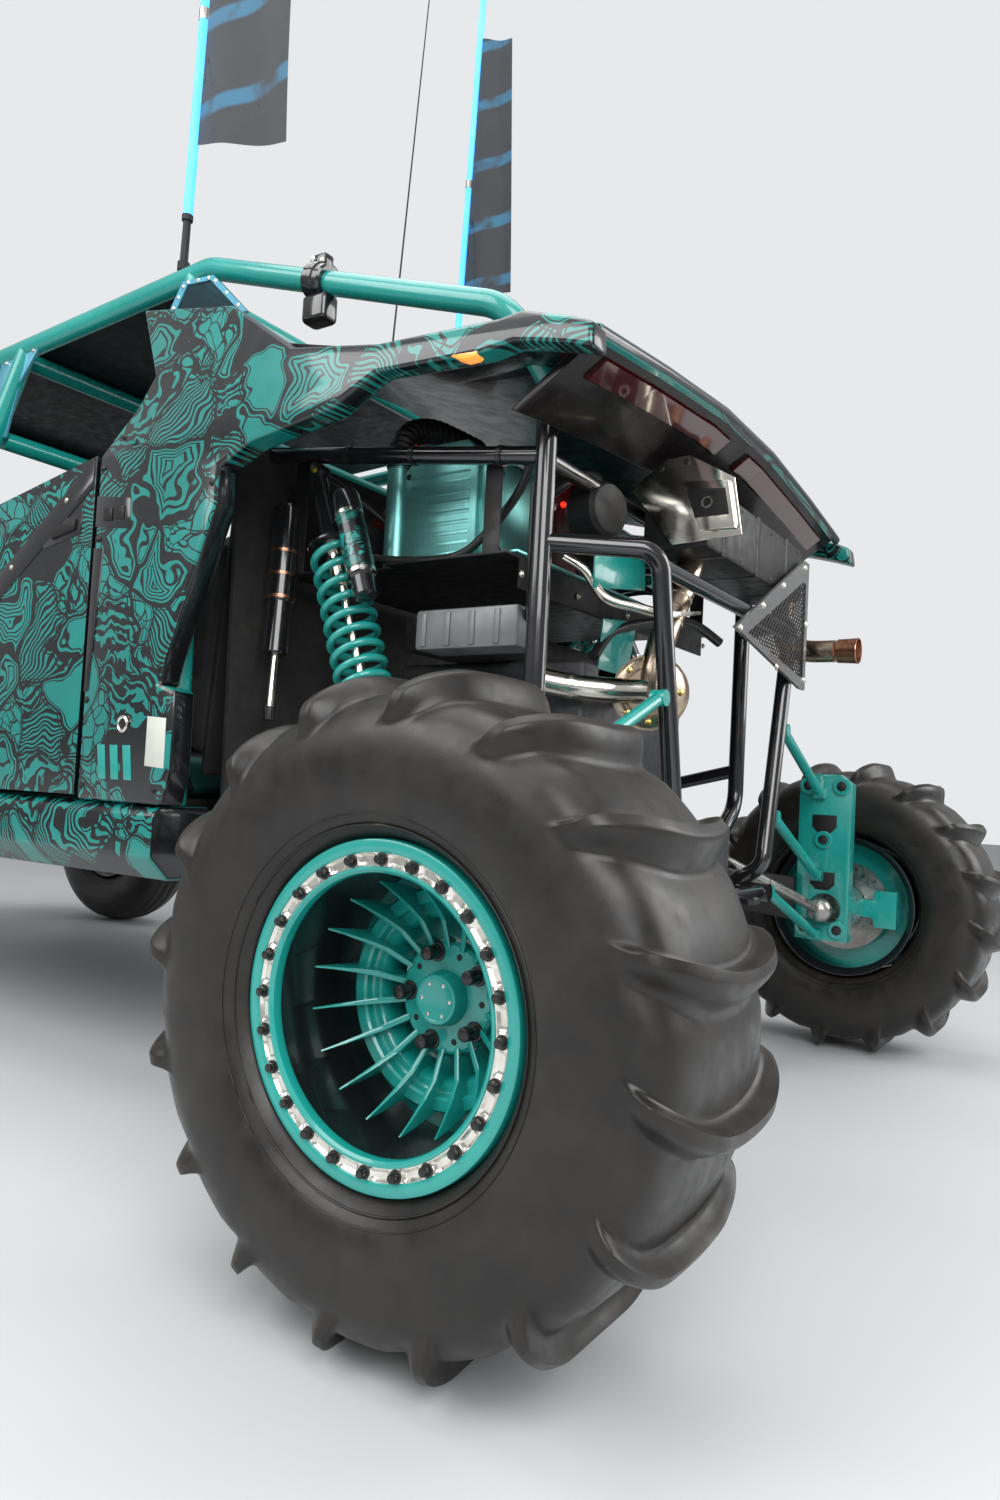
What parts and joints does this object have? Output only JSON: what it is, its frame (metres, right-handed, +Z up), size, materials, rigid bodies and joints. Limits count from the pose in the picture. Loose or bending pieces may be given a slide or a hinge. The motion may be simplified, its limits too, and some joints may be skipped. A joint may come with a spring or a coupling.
{
  "type": "utility terrain vehicle",
  "caption": "Open four-seat side-by-side sand vehicle with roll cage, paddle rear tyres, beadlock wheels, light whips and an exposed rear engine bay.",
  "frame": {"origin": "on the ground at the middle of the overall length and width", "axes": "+X forward, +Y to the driver's left, +Z up"},
  "size_m": [4.297, 2.4562, 3.7237],
  "materials": {
    "tyre": "dull black sand-tyre rubber",
    "rim": "teal and black painted alloy with a bright bolted ring",
    "cage": "gloss teal powder coat",
    "roof": "satin black sheet",
    "frame": "gloss black powder coat",
    "plastic": "satin black moulded plastic",
    "wrap": "teal, black and grey angular stripe wrap, glossy",
    "deck": "gloss black panel",
    "engine": "dark cast block",
    "cooler": "satin welded aluminium box",
    "hose": "black ribbed hose",
    "exhaust": "heat-tinted stainless steel",
    "shield": "polished plate",
    "carbon": "satin black plate",
    "arm": "black powder coat",
    "knuckle": "teal coated alloy",
    "rod": "polished tube with steel joints",
    "damper": "polished damper bodies",
    "spring": "teal coil springs",
    "steel": "plain steel",
    "seat": "black leather-look cover with teal panels",
    "glass": "dark tinted pane",
    "lamp_clear": "clear lamp lens",
    "lamp_red": "smoked red lamp lens",
    "lamp_amber": "amber marker lens",
    "whip": "frosted light tubes on black feet",
    "flag": "thin dark cloth"
  },
  "bodies": {
    "chassis": {"cage_side_left": "cage", "cage_side_right": "cage", "cage_crossbars": "cage", "roof_panel": "roof", "bay_frame": "frame", "lower_frame": "frame", "nose_frame": "frame", "skid_plate": "plastic", "cab_floor": "plastic", "bulkheads": "plastic", "rocker_panels": "wrap", "door_hinges": "carbon", "rear_quarters": "wrap", "tail_deck": "deck", "tail_panel": "deck", "tail_lamps": "lamp_red", "side_markers": "lamp_amber", "quarter_windows": "glass", "engine_block": "engine", "bay_shelf": "carbon", "cooler_box": "cooler", "intake_tube": "hose", "exhaust": "exhaust", "heat_shield": "shield", "rear_guard": "carbon", "trailing_arms": "arm", "rear_knuckles": "knuckle", "radius_rods": "rod", "front_arms": "arm", "steering_column": "steel", "shocks": "damper", "springs": "spring", "final_drives": "engine", "half_shafts": "steel", "seats": "seat", "dash": "plastic", "hood": "wrap", "front_fenders": "wrap", "front_fascia": "plastic", "head_lamps": "lamp_clear", "front_bumper": "frame", "whips": "whip", "flags": "flag"},
    "wheel_rear_left": {"tyre_rear_left": "tyre", "rim_rear_left": "rim"},
    "knuckle_left": {"knuckle_front_left": "knuckle"},
    "wheel_front_left": {"tyre_front_left": "tyre", "rim_front_left": "rim"},
    "door_front_left": {"door_front_left": "wrap"},
    "door_rear_left": {"door_rear_left": "wrap"},
    "wheel_rear_right": {"tyre_rear_right": "tyre", "rim_rear_right": "rim"},
    "knuckle_right": {"knuckle_front_right": "knuckle"},
    "wheel_front_right": {"tyre_front_right": "tyre", "rim_front_right": "rim"},
    "door_front_right": {"door_front_right": "wrap"},
    "door_rear_right": {"door_rear_right": "wrap"},
    "tie_rods": {"tie_rods": "rod"},
    "steering_wheel": {"steering_wheel": "plastic"}
  },
  "joints": [
    {"name": "spin_rear_left", "type": "hinge", "parent": "chassis", "child": "wheel_rear_left", "pos_m": [-1.7215, 1.053, 0.42701], "axis": [0, 1, 0], "continuous": true},
    {"name": "steer_left", "type": "hinge", "parent": "chassis", "child": "knuckle_left", "pos_m": [1.7085, 0.79, 0.413], "axis": [0, 0, 1], "range_deg": [-28, 28]},
    {"name": "spin_front_left", "type": "hinge", "parent": "knuckle_left", "child": "wheel_front_left", "pos_m": [1.7085, 0.95, 0.413], "axis": [0, 1, 0], "continuous": true},
    {"name": "door_front_left_hinge", "type": "hinge", "parent": "chassis", "child": "door_front_left", "pos_m": [1.1725, 0.808, 0.9], "axis": [0, 0, 1], "range_deg": [-70, 0]},
    {"name": "door_rear_left_hinge", "type": "hinge", "parent": "chassis", "child": "door_rear_left", "pos_m": [0.3285, 0.808, 0.9], "axis": [0, 0, 1], "range_deg": [-70, 0]},
    {"name": "spin_rear_right", "type": "hinge", "parent": "chassis", "child": "wheel_rear_right", "pos_m": [-1.7215, -1.053, 0.42701], "axis": [0, 1, 0], "continuous": true},
    {"name": "steer_right", "type": "hinge", "parent": "chassis", "child": "knuckle_right", "pos_m": [1.7085, -0.79, 0.413], "axis": [0, 0, 1], "range_deg": [-28, 28]},
    {"name": "spin_front_right", "type": "hinge", "parent": "knuckle_right", "child": "wheel_front_right", "pos_m": [1.7085, -0.95, 0.413], "axis": [0, 1, 0], "continuous": true},
    {"name": "door_front_right_hinge", "type": "hinge", "parent": "chassis", "child": "door_front_right", "pos_m": [1.1725, -0.808, 0.9], "axis": [0, 0, 1], "range_deg": [0, 70]},
    {"name": "door_rear_right_hinge", "type": "hinge", "parent": "chassis", "child": "door_rear_right", "pos_m": [0.3285, -0.808, 0.9], "axis": [0, 0, 1], "range_deg": [0, 70]},
    {"name": "rack_slide", "type": "slide", "parent": "chassis", "child": "tie_rods", "axis": [0, 1, 0], "range_m": [-0.0615, 0.0615]},
    {"name": "steering_wheel_turn", "type": "hinge", "parent": "chassis", "child": "steering_wheel", "pos_m": [0.8385, 0.37, 1.11], "axis": [-0.9401, 0, 0.3408], "range_deg": [-226, 226]}
  ],
  "couplings": [
    {"joint": "steer_right", "follows": "steer_left", "ratio": 1},
    {"joint": "rack_slide", "follows": "steer_left", "m_per_rad": -0.1249},
    {"joint": "steering_wheel_turn", "follows": "steer_left", "ratio": 8}
  ]
}
